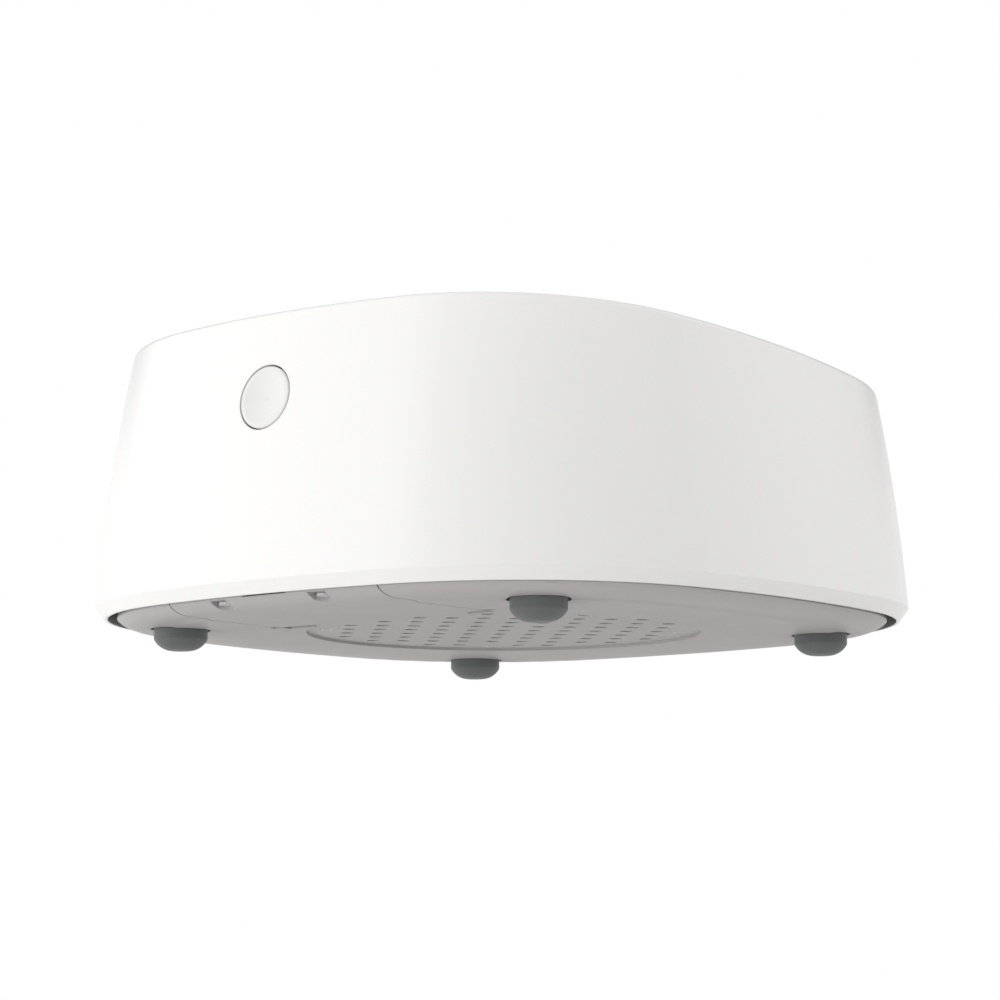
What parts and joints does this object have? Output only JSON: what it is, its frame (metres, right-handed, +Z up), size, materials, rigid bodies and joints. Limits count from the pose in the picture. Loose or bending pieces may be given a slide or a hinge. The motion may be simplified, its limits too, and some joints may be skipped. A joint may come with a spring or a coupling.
{
  "type": "smart pet bowl",
  "caption": "Weighing pet bowl: a lift-out steel bowl in a rounded square shell with a sloping display, a front button, weighing feet and a battery box behind a hinged door.",
  "frame": {"origin": "on the surface that the feet stand on, under the middle of the shell", "axes": "+Z up, -Y towards the front wall with the button, X across"},
  "size_m": [0.184, 0.184, 0.0741],
  "materials": {
    "shell_white": "satin",
    "inner_white": "moulded",
    "bowl_steel": "brushed",
    "bright_ring": "polished",
    "window_grey": "satin",
    "circuit_dark": "lacquered",
    "black_plastic": "moulded",
    "foot_rubber": "matt",
    "bracket_white": "satin",
    "clear_plastic": "clear",
    "battery_wrap": "satin",
    "contact_metal": "plated",
    "gasket_rubber": "matt",
    "plate_white": "moulded",
    "screw_steel": "plated"
  },
  "bodies": {
    "shell": {"outer_shell": "shell_white", "bowl_well": "inner_white", "display_board": "circuit_dark", "digit_module": "black_plastic", "push_switch": "contact_metal", "switch_board": "circuit_dark"},
    "display_cover": {"display_bezel": "bright_ring", "display_window": "window_grey"},
    "bowl": {"food_bowl": "bowl_steel"},
    "button_guide": {"button_carrier": "black_plastic", "switch_stem": "black_plastic"},
    "button": {"button_cap": "shell_white"},
    "base": {"base_plate": "plate_white", "foot_pad_back_right": "foot_rubber", "load_cell_back_right": "black_plastic", "foot_bracket_back_right": "bracket_white", "foot_pad_back_left": "foot_rubber", "load_cell_back_left": "black_plastic", "foot_bracket_back_left": "bracket_white", "foot_pad_front_left": "foot_rubber", "load_cell_front_left": "black_plastic", "foot_bracket_front_left": "bracket_white", "foot_pad_front_right": "foot_rubber", "load_cell_front_right": "black_plastic", "foot_bracket_front_right": "bracket_white"},
    "base_fixings": {"base_screws": "screw_steel"},
    "battery_holder": {"battery_box": "clear_plastic", "battery_front": "battery_wrap", "battery_back": "battery_wrap", "battery_contacts": "contact_metal", "control_board": "circuit_dark", "board_parts": "black_plastic"},
    "gasket": {"door_gasket": "gasket_rubber"},
    "pin": {"hinge_pin": "screw_steel"},
    "door": {"battery_door": "plate_white"},
    "door_fixings": {"door_screws": "screw_steel"}
  },
  "joints": [
    {"name": "base_drop", "type": "slide", "parent": "shell", "child": "base", "axis": [0, 0, -1], "range_m": [0, 0.01]},
    {"name": "base_screws_out", "type": "slide", "parent": "base", "child": "base_fixings", "axis": [0, 0, -1], "range_m": [0, 0.0109]},
    {"name": "battery_drop", "type": "slide", "parent": "base", "child": "battery_holder", "axis": [0, 0, -1], "range_m": [0, 0.0127]},
    {"name": "gasket_drop", "type": "slide", "parent": "battery_holder", "child": "gasket", "axis": [0, 0, -1], "range_m": [0, 0.009]},
    {"name": "door_drop", "type": "slide", "parent": "gasket", "child": "pin", "axis": [0, 0, -1], "range_m": [0, 0.006]},
    {"name": "door_hinge", "type": "hinge", "parent": "pin", "child": "door", "pos_m": [0, -0.0466, 0.0074], "axis": [-1, 0, 0], "range_deg": [-100, 0]},
    {"name": "door_screws_out", "type": "slide", "parent": "door", "child": "door_fixings", "axis": [0, 0, -1], "range_m": [0, 0.0052]},
    {"name": "display_lift", "type": "slide", "parent": "shell", "child": "display_cover", "axis": [0, 0.0705, 0.9975], "range_m": [0, 0.0193]},
    {"name": "bowl_lift", "type": "slide", "parent": "shell", "child": "bowl", "axis": [0, -0.0705, -0.9975], "range_m": [-0.06, 0]},
    {"name": "button_press", "type": "slide", "parent": "shell", "child": "button_guide", "axis": [0, -0.9867, 0.1628], "range_m": [-0.0008, 0], "stiffness_N_per_m": 1000},
    {"name": "button_pull", "type": "slide", "parent": "button_guide", "child": "button", "axis": [0, -0.9867, 0.1628], "range_m": [0, 0.0185]}
  ]
}
